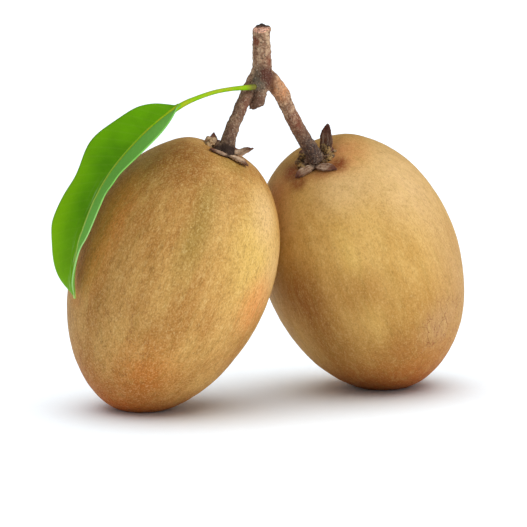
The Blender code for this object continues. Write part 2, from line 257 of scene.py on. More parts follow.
class Finish:
    """A finish in the making. Places on the surface are in millimetres in the frame of the piece."""

    def __init__(self, name, placed=Matrix(), **fixed):
        self.material = bpy.data.materials.new(name)
        self.material.use_nodes = True
        self.tree = self.material.node_tree
        self.shader = self.tree.nodes["Principled BSDF"]
        for socket, value in fixed.items():
            self.shader.inputs[socket.replace("_", " ")].default_value = value
        metres = self.node("TexCoord", {}, {}, "Object")
        world = self.node("VectorMath", {"operation": "SCALE"}, {0: metres, "Scale": 1 / MM})
        stand = {"Vector": world, "Location": placed.translation, "Rotation": placed.to_euler()}
        self.place = self.node("Mapping", {"vector_type": "TEXTURE"}, stand)

    def node(self, kind, settings, inputs, output=0):
        """Adds a node: its type, its settings, then a value or a wire for each of its inputs."""
        made = self.tree.nodes.new("ShaderNode" + kind)
        for name, setting in settings.items():
            setattr(made, name, setting)
        for name, value in inputs.items():
            if isinstance(value, Wire):
                self.tree.links.new(value.socket, made.inputs[name])
            else:
                made.inputs[name].default_value = value
        return Wire(self, made.outputs[output])

    def feed(self, socket, wire):
        """Leads a wire to the shader itself."""
        self.tree.links.new(wire.socket, self.shader.inputs[socket])

    def marked(self, name):
        """The number that the mesh is marked with under this name."""
        return self.node("Attribute", {"attribute_name": name}, {}, "Fac")

    def mix(self, share, first, second):
        """The first colour, turned by a share into the second."""
        inputs = {MIX_SHARE: share, MIX_FIRST: first, MIX_SECOND: second}
        return self.node("Mix", {"data_type": "RGBA"}, inputs, MIX_RESULT)

    def rise(self, value, low, high):
        """A smooth step from 0 to 1 as the value goes from low to high."""
        settings = {"interpolation_type": "SMOOTHSTEP"}
        return self.node("MapRange", settings, {"Value": value, "From Min": low, "From Max": high})

    def stretched(self, sizes, place=None):
        """The place, counted in steps of these sizes along each axis."""
        by = {0: place or self.place, 1: tuple(1 / size for size in sizes)}
        return self.node("VectorMath", {"operation": "MULTIPLY"}, by)

    def clouds(self, sizes, detail=2.0, shift=0.0, place=None):
        """Cloudy noise from 0 to 1, its clouds of one size, or of these sizes along each axis."""
        if not isinstance(sizes, tuple):
            sizes = (sizes, sizes, sizes)
        where = self.stretched(sizes, place)
        if shift:
            where = self.node("VectorMath", {"operation": "ADD"}, {0: where, 1: (shift, shift, shift)})
        inputs = {"Vector": where, "Scale": 1.0, "Detail": detail, "Roughness": NOISE_ROUGHNESS}
        return self.node("TexNoise", {}, inputs)

    def bend(self, size, amount):
        """A sideways shift that wanders with the place, to bend straight edges."""
        where = self.stretched((size, size, size))
        wandering = self.node("TexNoise", {}, {"Vector": where, "Scale": 1.0, "Detail": 2.0}, "Color")
        return self.node("VectorMath", {"operation": "SCALE"}, {0: wandering, "Scale": amount})

    def specks(self, size, spread):
        """Round specks: 1 in the middle of each, 0 past its edge, one for each cell of this spread."""
        where = self.stretched((spread, spread, spread))
        near = self.node("TexVoronoi", {}, {"Vector": where, "Scale": 1.0})
        return self.rise(near, size / spread, size / spread / SPECK_SOFTNESS)

    def patch(self, middle, sizes, edge=SOFT_EDGE):
        """A patch: 1 up to the edge's share of these sizes along each axis, and 0 past the sizes."""
        away = self.node("VectorMath", {"operation": "SUBTRACT"}, {0: self.place, 1: middle})
        away = self.stretched(sizes, away)
        ratio = self.node("VectorMath", {"operation": "LENGTH"}, {0: away}, "Value")
        return self.rise(ratio, 1.0, edge)

    def bump(self, height, distance):
        """Fine relief: a height from 0 to 1 stands for this distance in millimetres."""
        inputs = {"Height": height, "Distance": distance * MM, "Strength": 1.0}
        self.feed("Normal", self.node("Bump", {}, inputs))


# The two ends of each skin's ground colour, between which it drifts.
GROUND = {
    "left": (tint(174, 121, 57), tint(195, 147, 79)),
    "right": (tint(188, 142, 70), tint(204, 160, 88)),
}
SKIN_GOLD = tint(214, 174, 92)
SKIN_CREAM = tint(218, 178, 122)
SKIN_OLIVE = tint(146, 116, 46)
SKIN_RUSSET = tint(170, 98, 30)
SKIN_UMBER = tint(138, 82, 26)
SKIN_EMBER = tint(216, 126, 44)
SKIN_FOOT = tint(172, 80, 4)
SKIN_COCOA = tint(136, 66, 12)
SKIN_TAN = tint(172, 122, 56)
SKIN_ROSE = tint(208, 142, 84)
# Dark red-brown for the fine cracks and for painted shadow beneath the sepals, and a darker one for the
# painted shadow under the front sepals.
SKIN_SORE_AND_SEPAL_SHADOW = tint(134, 66, 28)
SKIN_UNDER_SEPAL_SHADOW = tint(96, 46, 16)
SKIN_TAWNY = tint(217, 133, 68)
SKIN_FAWN = tint(186, 146, 108)
SPECK_PALE = tint(244, 214, 150)
SPECK_DARK = tint(90, 56, 22)

# Patches of other colour on each skin, some of them painted light and shade: what colour, how strong, where
# and how far they reach.
SKIN_PATCHES = {
    "left": [
        # The gold and the cream on this fruit's right side are partly its own colour and partly painted light
        # on the side the lamp falls on; the cream along its right edge is a painted rim highlight.
        (SKIN_GOLD, 0.85, (19.0, -17.0, 20.0), (16.0, 20.0, 25.0)),
        (SKIN_CREAM, 0.8, (17.0, -10.0, 26.0), (9.0, 10.0, 15.0)),
        (SKIN_CREAM, 0.6, (24.5, -8.0, 12.0), (8.0, 11.0, 16.0)),
        (SKIN_OLIVE, 0.65, (2.0, -23.5, 16.5), (6.0, 8.0, 22.0)),
        (SKIN_OLIVE, 0.5, (1.0, -18.5, 27.0), (5.0, 8.0, 9.0)),
        # Darker umber at the top left, under the leaf: partly the skin's own russet, partly the leaf's shadow
        # painted in.
        (SKIN_UMBER, 0.8, (-11.0, -13.0, 33.0), (17.0, 16.0, 14.0)),
        # Painted light: the strip that the leaf shades is painted bright orange, so that it shades down to
        # red-brown.
        (SKIN_EMBER, 1.0, (-23.5, -13.0, 10.0), (10.0, 13.0, 30.0)),
        (SKIN_OLIVE, 0.5, (4.5, -8.5, 36.0), (6.5, 6.0, 5.0)),
        # Painted light: a tawny lift on the strip that the leaf shades.
        (SKIN_TAWNY, 0.9, (-20.0, -14.0, 8.0), (10.0, 13.0, 24.0)),
        (SKIN_RUSSET, 0.7, (3.0, -19.0, -25.0), (12.0, 12.0, 13.0)),
        (SKIN_EMBER, 1.0, (3.0, -8.0, -38.0), (14.0, 14.0, 9.0)),
        (SKIN_EMBER, 0.3, (2.0, -21.0, -20.0), (14.0, 12.0, 14.0)),
        (SKIN_TAWNY, 0.6, (23.0, -13.0, 4.0), (8.0, 12.0, 12.0)),
        # Painted shade: darker and more orange towards the blossom end, under the fruit.
        (SKIN_FOOT, 1.0, (0.0, 0.0, -44.0), (34.0, 34.0, 32.0)),
    ],
    "right": [
        (SKIN_TAN, 1.0, (8.0, -18.0, -20.0), (38.0, 30.0, 38.0)),
        # The cream at the upper right is partly painted highlight, where the lamp falls.
        (SKIN_CREAM, 0.9, (18.0, -8.0, 24.0), (18.0, 20.0, 24.0)),
        (SKIN_CREAM, 0.7, (3.0, -15.0, 32.0), (13.0, 11.0, 13.0)),
        (SKIN_GOLD, 0.5, (-2.0, -26.0, 12.0), (4.5, 9.0, 34.0)),
        (SKIN_TAN, 0.9, (-3.0, -26.0, 6.0), (12.0, 9.0, 11.0)),
        # Painted shade: umber down the left side, where the left fruit shades this one.
        (SKIN_UMBER, 0.9, (-17.0, -20.0, 7.0), (11.0, 13.0, 17.0)),
        (SKIN_UMBER, 0.6, (-15.0, -20.0, -8.0), (11.0, 13.0, 20.0)),
        # Painted shade: darker towards the blossom end, deepest at the lower left in the cocoa patch below.
        (SKIN_FOOT, 0.9, (-4.0, -10.0, -42.0), (34.0, 38.0, 38.0)),
        (SKIN_COCOA, 0.9, (-12.0, -16.0, -34.0), (19.0, 22.0, 22.0)),
        (SKIN_COCOA, 0.25, (2.0, -25.0, -16.0), (10.0, 10.0, 9.0)),
        (SKIN_CREAM, 0.3, (-15.0, -12.0, 28.0), (6.0, 8.0, 10.0)),
        (SKIN_FAWN, 0.4, (22.0, -10.0, 0.0), (11.0, 18.0, 30.0)),
        (SKIN_FAWN, 0.4, (14.0, -20.0, -15.0), (11.0, 11.0, 12.0)),
        (SKIN_ROSE, 0.7, (-13.0, -5.0, 31.0), (8.0, 9.0, 11.0)),
        (SKIN_ROSE, 1.0, (3.0, -5.0, 36.5), (16.0, 12.0, 8.0)),
        # Round the calyx: to its left a stain deepened with painted shade among the crumbs, then painted
        # shadows cast on the skin beneath the front sepals.
        (SKIN_SORE_AND_SEPAL_SHADOW, 1.0, (-8.4, -3.2, 35.0), (4.2, 7.0, 5.0)),
        (SKIN_SORE_AND_SEPAL_SHADOW, 1.0, (4.4, -9.0, 35.4), (3.8, 4.8, 4.0)),
        (SKIN_SORE_AND_SEPAL_SHADOW, 0.9, (-7.4, -9.2, 34.6), (4.0, 3.6, 3.2)),
        (SKIN_SORE_AND_SEPAL_SHADOW, 0.6, (0.5, -10.3, 35.4), (6.0, 3.0, 2.5)),
        (SKIN_UNDER_SEPAL_SHADOW, 0.8, (-1.5, -6.5, 36.2), (5.5, 4.4, 4.0)),
    ],
}
# Sizes of the clouds in the scurf, across and along the fruit, from broad drifts down to the sandy grain.
DRIFT_SIZES = (8.0, 8.0, 26.0)
RAGGED_SIZE = 6.0
STREAK_SIZES = (1.5, 1.5, 18.0)
MOTTLE_SIZES = (0.9, 0.9, 2.2)
GRAIN_SIZES = (0.36, 0.36, 0.6)
SPECK_SIZE = 0.3
SPECK_SPREAD = 2.3
# How strongly each of them tints the skin, and how strongly the three finest show on each fruit.
STREAK_SHARE = 0.22
MOTTLE_DARK_SHARE = 0.26
MOTTLE_PALE_SHARE = 0.14
GRAIN_DARK_SHARE = 0.34
GRAIN_PALE_SHARE = 0.26
SPECK_SHARE = 0.14
FINE_SHOW = {"left": 1.0, "right": 0.65}
# Fine cracks: how strong and where on each fruit, how far they reach, their cells and their width.
CRACK_SHARE = {"left": 0.3, "right": 0.8}
CRACK_PLACE = {"left": (-6.0, -22.0, -14.0), "right": (14.0, -18.0, -18.0)}
CRACK_REACH = (16.0, 16.0, 20.0)
CRACK_CELLS = (4.5, 4.5, 9.0)
CRACK_WIDTH = 0.03
CRACK_BEND_SIZE = 2.0
CRACK_BEND = 0.8
# Faint ribs that run from the stem end to the blossom end.
RIB_SIZES = (2.6, 2.6, 30.0)
RIB_SHARE = 0.2
SKIN_RIB = tint(200, 162, 92)
SCURF_HEIGHT = 0.08


def skin_finish(fruit):
    """Matt scurf: a ground in long drifts, the patches of this fruit with their painted light and shade, fine
    sandy grain and specks.
    """
    skin = Finish("skin_" + fruit.name, fruit_frame(fruit), Specular_IOR_Level=0.15)
    drift = skin.clouds(DRIFT_SIZES, 3)
    streak = skin.clouds(STREAK_SIZES, 2, shift=7)
    ragged = skin.clouds(RAGGED_SIZE, 4, shift=2)
    mottle = skin.clouds(MOTTLE_SIZES, 2, shift=5)
    grain = skin.clouds(GRAIN_SIZES, 2)
    colour = skin.mix(skin.rise(drift, 0.35, 0.66), *GROUND[fruit.name])
    for other, strength, middle, sizes in SKIN_PATCHES[fruit.name]:
        share = skin.patch(middle, sizes) * (0.7 + ragged * 0.6)
        colour = skin.mix(share * strength, colour, other)
    colour = skin.mix(skin.rise(streak, 0.45, 0.75) * STREAK_SHARE, colour, SKIN_OLIVE)
    ribs = skin.clouds(RIB_SIZES, 2, shift=11)
    colour = skin.mix(skin.rise(ribs, 0.5, 0.7) * RIB_SHARE, colour, SKIN_RIB)
    cells = {0: skin.stretched(CRACK_CELLS), 1: skin.bend(CRACK_BEND_SIZE, CRACK_BEND)}
    bent = skin.node("VectorMath", {"operation": "ADD"}, cells)
    edges = skin.node("TexVoronoi", {"feature": "DISTANCE_TO_EDGE"}, {"Vector": bent, "Scale": 1.0})
    cracked = skin.patch(CRACK_PLACE[fruit.name], CRACK_REACH, FIRM_EDGE) * skin.rise(ragged, 0.44, 0.56)
    cracks = skin.rise(edges, CRACK_WIDTH, 0.0) * cracked
    colour = skin.mix(cracks * CRACK_SHARE[fruit.name], colour, SKIN_SORE_AND_SEPAL_SHADOW)
    show = FINE_SHOW[fruit.name]
    colour = skin.mix(skin.rise(mottle, 0.5, 0.75) * (MOTTLE_DARK_SHARE * show), colour, SPECK_DARK)
    colour = skin.mix(skin.rise(mottle, 0.5, 0.25) * (MOTTLE_PALE_SHARE * show), colour, SPECK_PALE)
    colour = skin.mix(skin.rise(grain, 0.48, 0.72) * (GRAIN_DARK_SHARE * show), colour, SPECK_DARK)
    colour = skin.mix(skin.rise(grain, 0.5, 0.25) * (GRAIN_PALE_SHARE * show), colour, SPECK_PALE)
    colour = skin.mix(skin.specks(SPECK_SIZE, SPECK_SPREAD) * (SPECK_SHARE * show), colour, SPECK_PALE)
    skin.feed("Base Color", colour)
    skin.feed("Roughness", 0.5 + grain * 0.2)
    skin.bump(grain * 0.7 + mottle * 0.3 - cracks, SCURF_HEIGHT)
    return skin


for fruit in FRUITS:
    skin = add_object("skin_" + fruit.name, skin_mesh(fruit), skin_finish(fruit))
    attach(skin, "root")
    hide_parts("fruit_" + fruit.name)


# The calyces

# At the foot of each stem a dry round plate carries six sepals. They grew with the flower and have dried
# to a brown-grey husk: some lie flat on the skin, some have curled up, and the oldest have crumpled.

PLATE_RADIUS = 2.7
PLATE_TAPER = 0.9
PLATE_THICKNESS = 0.9
PLATE_SIDES = 28
SEPAL_ROOT = 2.0
SEPAL_THICKNESS = 0.5
SEPAL_CLEARANCE = 0.25
# The outline of a sepal is a stretch of an arch, from this share of it on, highest near its middle.
SEPAL_OUTLINE_START = 0.12
SEPAL_ARCH_MIDDLE = 0.43
SEPAL_FULLNESS = 0.75
SEPAL_TIP_SHARE = 0.07
# A sepal bends up this much faster than its length runs out, and then goes on straight.
SEPAL_BEND_RATE = 1.8
SEPAL_RIBS = 3
SEPAL_RIB_HEIGHT = 0.09
SEPAL_ROWS = 20
SEPAL_COLUMNS = 13
# Size of the crumples, and how much of them there is at the root, beside 1 more at the tip.
CRUMPLE_SIZE = 1.6
CRUMPLE_AT_ROOT = 0.3
# Vector noise takes its offsets from the clock unless it is given a seed.
CRUMPLE_SEED = 5
noise.seed_set(CRUMPLE_SEED)
CALYX_VOXEL = 0.13
# Size and height of the husk's fine relief.
HUSK_RELIEF = ((1.2, 0.12), (0.5, 0.1))
# What the crumbled remains are marked with, and how much rougher they are than the rest.
CRUMB_MARK = -1.0
CRUMB_RELIEF = 4.0
# How finely the balls are cut that crumbs and swellings grow from, and how often a grown skin is smoothed.
BALL_SUBDIVISIONS = 3
SOFTENINGS = 2


@dataclass
class Sepal:
    """One sepal: where it points, from the front towards the right, and how its tip lifts, in degrees."""

    bearing: float
    length: float
    lift: float
    width: float = 3.6
    cup: float = 0.35
    crumple: float = 0.2
    root: tuple = None  # right and back of the stem, where it doesn't spread straight from it
    tone: float = 0.0  # from -1, dark red-brown, to 1, pale straw
    widest: float = 0.43  # how far out, as a share of its length


SEPALS = {
    "left": [
        Sepal(-158, 4.8, 14),
        Sepal(-132, 4.4, 70, width=3.2, cup=0.2, root=(-2.4, 0.6), tone=-0.3),
        Sepal(-84, 5.2, 0, width=2.6, root=(1.4, -6.0), tone=0.2),
        Sepal(80, 6.4, 3, width=4.2, root=(1.2, -4.6), tone=1.0),
        Sepal(104, 6.6, 52, width=4.4, cup=0.4, crumple=0.3, tone=0.7),
        Sepal(150, 5.2, 14),
    ],
    "right": [
        Sepal(-150, 4.8, 16, crumple=0.5),
        Sepal(-104, 2.8, 4, width=2.6, cup=0.5, crumple=1.0, tone=-0.5),
        Sepal(-76, 6.2, 0, width=4.0, root=(-1.0, -3.0), tone=0.15),
        Sepal(46, 7.0, 0, width=3.0, root=(-0.8, -4.0), tone=-0.45),
        Sepal(86, 3.2, 20, width=3.4, cup=0.9, crumple=1.0, tone=0.5),
        Sepal(118, 9.6, 68, width=5.3, cup=0.4, crumple=0.1, tone=-0.9, widest=0.52),
    ],
}
# Crumbled remains of the flower on the plate: bearing, distance out, height, radius and tone.
CRUMBS = {
    "left": [
        (-95, 4.6, 0.9, 1.4, 0.6),
        (-80, 4.0, 1.5, 1.0, 0.5),
        (-112, 4.4, 0.9, 1.0, 0.6),
        (-78, 4.6, 0.2, 1.2, 0.4),
        (10, 3.2, 0.2, 1.3, -1.0),
        (12, 5.0, 0.0, 1.2, -1.0),
        (-25, 3.8, 0.2, 1.1, -1.0),
    ],
    "right": [
        (-150, 4.0, 0.8, 0.8, 0.0),
        (-139, 4.8, 0.9, 1.0, 0.0),
        (-125, 4.4, 1.0, 1.0, 0.0),
        (-113, 5.2, 0.8, 0.9, 0.3),
        (-100, 4.4, 1.0, 1.0, -0.3),
        (-86, 4.8, 0.7, 0.9, 0.0),
        (-70, 4.2, 0.6, 0.8, 0.2),
        (35, 3.6, 0.4, 0.7, 0.3),
        (48, 4.4, 0.6, 0.9, 0.0),
        (62, 5.2, 0.5, 0.8, 0.2),
        (75, 4.2, 1.0, 0.9, 0.0),
        (84, 5.6, 0.6, 0.7, 0.3),
        (92, 4.0, 1.5, 1.0, 0.0),
        (108, 3.6, 2.2, 0.9, -0.3),
    ],
}


def stem_frame(fruit):
    """The frame on the skin where the stem meets the fruit, +Z out along the stem."""
    slope = fruit.length / 2 / (fruit.width / 2) ** 2
    x, y = fruit.stem_shift
    placed = fruit_frame(fruit)
    foot = placed @ Vector((x, y, shoulder(fruit, x, y)))
    return upright(foot, placed.to_3x3() @ Vector((x * slope, y * slope, 1)))


def column_share(column):
    """Where a column of a sepal's grid lies, from -1 at one margin to 1 at the other."""
    return 2 * column / (SEPAL_COLUMNS - 1) - 1


def sepal_grid(fruit, sepal):
    """Points on the middle surface of a sepal: pointed, cupped, ribbed along, crumpled towards its tip."""
    placed, to_fruit = stem_frame(fruit), fruit_frame(fruit)
    from_fruit = to_fruit.inverted()
    around = math.radians(sepal.bearing)
    outward = Vector((math.sin(around), -math.cos(around), 0))
    side = Vector((math.cos(around), math.sin(around), 0))
    up = Vector((0, 0, 1))
    centre = Vector((*sepal.root, 0)) if sepal.root else outward * SEPAL_ROOT
    centre += up * PLATE_THICKNESS / 2
    grid = []
    for row in range(SEPAL_ROWS + 1):
        share = row / SEPAL_ROWS
        rise = math.radians(sepal.lift) * min(1.0, share * SEPAL_BEND_RATE)
        along = outward * math.cos(rise) + up * math.sin(rise)
        crown = up * math.cos(rise) - outward * math.sin(rise)
        arch = share ** (math.log(SEPAL_ARCH_MIDDLE) / math.log(sepal.widest))
        outline = math.sin(math.pi * (SEPAL_OUTLINE_START + (1 - SEPAL_OUTLINE_START) * arch))
        half = sepal.width / 2 * max(SEPAL_TIP_SHARE, outline**SEPAL_FULLNESS)
        line = []
        for column in range(SEPAL_COLUMNS):
            s = column_share(column)
            rib = SEPAL_RIB_HEIGHT * math.cos(s * math.pi * SEPAL_RIBS) * (1 - share)
            point = centre + side * half * s + crown * (half * sepal.cup * s * s + rib)
            crumple = noise.noise_vector((point + outward * sepal.bearing) / CRUMPLE_SIZE)
            point += crumple * sepal.crumple * (CRUMPLE_AT_ROOT + share)
            inside = from_fruit @ (placed @ point)
            floor = shoulder(fruit, inside.x, inside.y) + SEPAL_CLEARANCE + SEPAL_THICKNESS / 2
            line.append(to_fruit @ Vector((inside.x, inside.y, max(inside.z, floor))))
        grid.append(line)
        centre = centre + along * (sepal.length / SEPAL_ROWS)
    return grid


def add_blade(mesh, grid, thickness):
    """Adds a thin closed leaf of this thickness on a grid of points."""
    rows, columns = len(grid), len(grid[0])
    faces = ({}, {})
    for i in range(rows):
        for j in range(columns):
            down = grid[min(i + 1, rows - 1)][j] - grid[max(i - 1, 0)][j]
            across = grid[i][min(j + 1, columns - 1)] - grid[i][max(j - 1, 0)]
            lift = down.cross(across).normalized() * thickness / 2
            faces[0][i, j] = mesh.verts.new(grid[i][j] + lift)
            faces[1][i, j] = mesh.verts.new(grid[i][j] - lift)
    upper, lower = faces
    for i in range(rows - 1):
        for j in range(columns - 1):
            corners = ((i, j), (i, j + 1), (i + 1, j + 1), (i + 1, j))
            mesh.faces.new([upper[at] for at in corners])
            mesh.faces.new([lower[at] for at in reversed(corners)])
    rim = [(0, j) for j in range(columns - 1)]
    rim += [(i, columns - 1) for i in range(rows - 1)]
    rim += [(rows - 1, j) for j in range(columns - 1, 0, -1)]
    rim += [(i, 0) for i in range(rows - 1, 0, -1)]
    for at, after in zip(rim, rim[1:] + rim[:1]):
        mesh.faces.new((upper[after], upper[at], lower[at], lower[after]))


def smooth_route(knots, steps):
    """Points on a smooth curve through the knots, of any number of coordinates."""
    knots = [Vector(knot) for knot in knots]
    ends = [knots[0] * 2 - knots[1]] + knots + [knots[-1] * 2 - knots[-2]]
    route = []
    for before, start, stop, after in zip(ends, ends[1:], ends[2:], ends[3:]):
        for step in range(steps):
            t = step / steps
            bend = (before * 2 - start * 5 + stop * 4 - after) * t**2
            turn = (start * 3 - stop * 3 + after - before) * t**3
            route.append((start * 2 + (stop - before) * t + bend + turn) / 2)
    return route + [knots[-1]]


def add_tube(mesh, route, sides):
    """Adds a closed round tube along points that each carry a radius."""
    centres = [point.to_3d() for point in route]
    rings = []
    side = None
    for index, centre in enumerate(centres):
        along = centres[min(index + 1, len(centres) - 1)] - centres[max(index - 1, 0)]
        along.normalize()
        side = along.orthogonal() if side is None else side - along * side.dot(along)
        side.normalize()
        other = along.cross(side)
        ring = []
        for corner in range(sides):
            angle = math.tau * corner / sides
            out = side * math.cos(angle) + other * math.sin(angle)
            ring.append(mesh.verts.new(centre + out * route[index][3]))
        rings.append(ring)
    for first, second in zip(rings, rings[1:]):
        for corner in range(sides):
            after = (corner + 1) % sides
            mesh.faces.new((first[corner], first[after], second[after], second[corner]))
    mesh.faces.new(list(reversed(rings[0])))
    mesh.faces.new(rings[-1])


def add_ball(mesh, centre, radius):
    """Adds a closed ball and gives back its points."""
    stood = Matrix.Translation(centre)
    ball = bmesh.ops.create_icosphere(mesh, subdivisions=BALL_SUBDIVISIONS, radius=radius, matrix=stood)
    return ball["verts"]


def grown_together(mesh, voxel):
    """One closed skin over all the pieces of a mesh, with its edges worn soft."""
    bmesh.ops.recalc_face_normals(mesh, faces=mesh.faces)
    data = bpy.data.meshes.new("pieces")
    mesh.to_mesh(data)
    mesh.free()
    holder = bpy.data.objects.new("pieces", data)
    bpy.context.scene.collection.objects.link(holder)
    remesh = holder.modifiers.new("one_skin", "REMESH")
    remesh.mode = "VOXEL"
    remesh.voxel_size = voxel
    worn = holder.modifiers.new("worn", "SMOOTH")
    worn.iterations = SOFTENINGS
    made = bmesh.new()
    made.from_object(holder, bpy.context.evaluated_depsgraph_get())
    bpy.data.objects.remove(holder)
    bpy.data.meshes.remove(data)
    return made


def roughen(mesh, relief, shares=None):
    """Moves each point of a mesh along its normal by noise of several sizes, times the point's own share."""
    mesh.normal_update()
    normals = [corner.normal.copy() for corner in mesh.verts]
    for index, (corner, out) in enumerate(zip(mesh.verts, normals)):
        lift = sum(noise.noise(corner.co / size) * height for size, height in relief)
        corner.co += out * lift * (shares[index] if shares else 1.0)


def mark(mesh, name, values):
    """Stores one number for each point of a mesh, for its finish to read."""
    layer = mesh.verts.layers.float.new(name)
    for corner, value in zip(mesh.verts, values):
        corner[layer] = value


def calyx_mesh(fruit):
    """Plate and sepals grown together, each point marked with its share of the way out to a tip."""
    placed = stem_frame(fruit)
    mesh = bmesh.new()
    foot, top = (placed @ Vector((0, 0, height)) for height in (0.0, PLATE_THICKNESS))
    plate = [Vector((*foot, PLATE_RADIUS)), Vector((*top, PLATE_RADIUS * PLATE_TAPER))]
    add_tube(mesh, plate, PLATE_SIDES)
    known = []
    for sepal in SEPALS[fruit.name]:
        grid = sepal_grid(fruit, sepal)
        add_blade(mesh, grid, SEPAL_THICKNESS)
        for row, line in enumerate(grid):
            for column, point in enumerate(line):
                known.append((point, row / SEPAL_ROWS, column_share(column), sepal.tone))
    known.append((placed @ Vector((0, 0, PLATE_THICKNESS)), 0.0, 0.0, 0.0))
    for bearing, out, height, radius, tone in CRUMBS[fruit.name]:
        around = math.radians(bearing)
        point = placed @ Vector((math.sin(around) * out, -math.cos(around) * out, height))
        for corner in add_ball(mesh, point, radius):
            known.append((corner.co.copy(), CRUMB_MARK, 0.0, tone))
    tree = kdtree.KDTree(len(known))
    for index, (point, *_) in enumerate(known):
        tree.insert(point, index)
    tree.balance()
    made = grown_together(mesh, CALYX_VOXEL)
    found = [known[tree.find(corner.co)[1]] for corner in made.verts]
    _, out, across, tone = zip(*found)
    for name, values in (("out", out), ("across", across), ("tone", tone)):
        mark(made, name, values)
    roughen(made, HUSK_RELIEF, [CRUMB_RELIEF if share == CRUMB_MARK else 1.0 for share in out])
    return made


HUSK_GREY = tint(188, 156, 128)
HUSK_BROWN = tint(144, 102, 74)
HUSK_DARK = tint(54, 36, 26)
HUSK_TIP = tint(90, 38, 26)
HUSK_STRAW = tint(210, 174, 138)
HUSK_OLIVE = tint(162, 128, 78)
HUSK_RIB = tint(216, 194, 170)
# Sizes of the husk's clouds, of its fine flecks and of the clouds in the crumbs.
HUSK_CLOUD = 1.3
HUSK_FLECK = 0.35
CRUMB_CLOUD = 0.9
# How far a rib's wave turns from the middle of a sepal to its margin: a turn and a half.
HUSK_RIB_TURN = 9.4
HUSK_HEIGHT = 0.12


def husk_finish():
    """Dry husk: brown-grey clouds, pale ribs, dark edges and tips, and olive crumbs."""
    husk = Finish("husk", Specular_IOR_Level=0.25)
    out = husk.marked("out")
    across = husk.marked("across")
    tone = husk.marked("tone")
    cloud = husk.clouds(HUSK_CLOUD, 4)
    fine = husk.clouds(HUSK_FLECK, 3, shift=4)
    colour = husk.mix(husk.rise(cloud, 0.38, 0.6), HUSK_BROWN, HUSK_GREY)
    colour = husk.mix(husk.rise(tone, 0.0, 1.0) * 0.75, colour, HUSK_STRAW)
    colour = husk.mix(husk.rise(tone, 0.0, -1.0) * 0.6, colour, HUSK_TIP)
    ribs = husk.rise((across * HUSK_RIB_TURN).cosine(), 0.2, 1.0)
    colour = husk.mix(ribs * husk.rise(out, 0.95, 0.3) * 0.5, colour, HUSK_RIB)
    colour = husk.mix(husk.rise(out + cloud * 0.3, 0.72, 1.05) * 0.85, colour, HUSK_TIP)
    colour = husk.mix(husk.rise(abs(across), 0.75, 1.0) * 0.5, colour, HUSK_DARK)
    colour = husk.mix(husk.rise(out, 0.22, 0.02) * 0.85, colour, HUSK_DARK)
    speckle = husk.clouds(CRUMB_CLOUD, 3, shift=9)
    crumbs = husk.mix(husk.rise(speckle, 0.34, 0.62), HUSK_DARK, HUSK_OLIVE)
    crumbs = husk.mix(husk.rise(tone, 0.0, 1.0) * husk.rise(cloud, 0.2, 0.5), crumbs, HUSK_STRAW)
    crumbs = husk.mix(husk.rise(tone, 0.0, -1.0), crumbs, HUSK_DARK)
    colour = husk.mix(husk.rise(out, -0.4, -0.6), colour, crumbs)
    colour = husk.mix(husk.rise(fine, 0.5, 0.7) * 0.5, colour, HUSK_DARK)
    husk.feed("Base Color", colour)
    husk.feed("Roughness", 0.7 + fine * 0.2)
    husk.bump(fine, HUSK_HEIGHT)
    return husk


husk = husk_finish()
for fruit in FRUITS:
    calyx = add_object("sepals_" + fruit.name, calyx_mesh(fruit), husk)
    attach(calyx, "root")
    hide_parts("calyx_" + fruit.name)


# The twig

# The woody twig grew as one piece: a trunk cut off above, where its bark has torn back, forking into the
# two fruit stems, with the stub of a third and the pad of the leaf. Its bark is rough and scarred.

TWIG_SIDES = 24
TWIG_STEPS = 6
TWIG_VOXEL = 0.17
# Size and height of the bark's relief, from its swells down to its crumbs.
BARK_RELIEF = ((2.4, 0.22), (0.9, 0.17), (0.42, 0.09))
# Place right, back and up from the foot of the fork, and radius.
TRUNK = [
    (-0.6, 1.7, 105.2, 2.25),
    (-0.6, 2.1, 102.8, 2.3),
    (-0.5, 3.0, 98.6, 2.4),
    (-0.35, 3.9, 94.0, 2.55),
    (-0.4, 4.6, 90.0, 2.75),
    (-0.5, 5.0, 86.2, 2.35),
]
STEMS = {
    "left": [
        (-1.2, 5.2, 91.4, 1.8),
        (-3.3, 4.4, 87.6, 1.85),
        (-5.1, 2.4, 84.0, 1.7),
        (-6.9, -0.2, 79.8, 1.7),
        (-8.3, -1.6, 76.8, 1.8),
    ],
    "right": [
        (0.3, 5.2, 91.2, 1.9),
        (2.8, 6.0, 87.9, 2.2),
        (5.0, 7.0, 84.6, 2.05),
        (6.8, 8.4, 80.6, 1.9),
        (8.9, 10.2, 76.4, 1.95),
        (10.9, 11.7, 72.8, 2.1),
    ],
}
STEM_FOOT_LENGTH = 2.2
STEM_NECK_RADIUS = 2.1
STEM_FOOT_RADIUS = 2.8
STUB = [(-0.4, 4.8, 88.0, 1.8), (-1.1, 3.6, 84.8, 1.8), (-2.1, 2.6, 80.8, 1.85)]
LEAF_PAD = [(-0.5, 4.4, 87.5, 1.4), (-2.5, 1.0, 87.4, 1.1)]
# Swellings of the wood, as knots: the shoulders of the fork, the scarred bulge, the leaf's pad, the bark
# that stands past the cut, the flare of the left stem's foot, and the full lower corner of the stub.
SWELLINGS = [
    (-1.8, 4.6, 91.4, 1.5),
    (0.8, 5.2, 91.8, 1.4),
    (3.6, 5.6, 87.0, 2.3),
    (5.2, 6.6, 84.6, 2.1),
    (-1.4, 2.6, 88.4, 1.7),
    (-0.4, 3.5, 102.9, 1.2),
    (0.9, 3.2, 102.7, 1.1),
    (-11.6, -3.4, 71.2, 1.9),
    (-9.9, -6.2, 69.6, 1.9),
    (-2.7, 2.5, 82.3, 1.1),
]
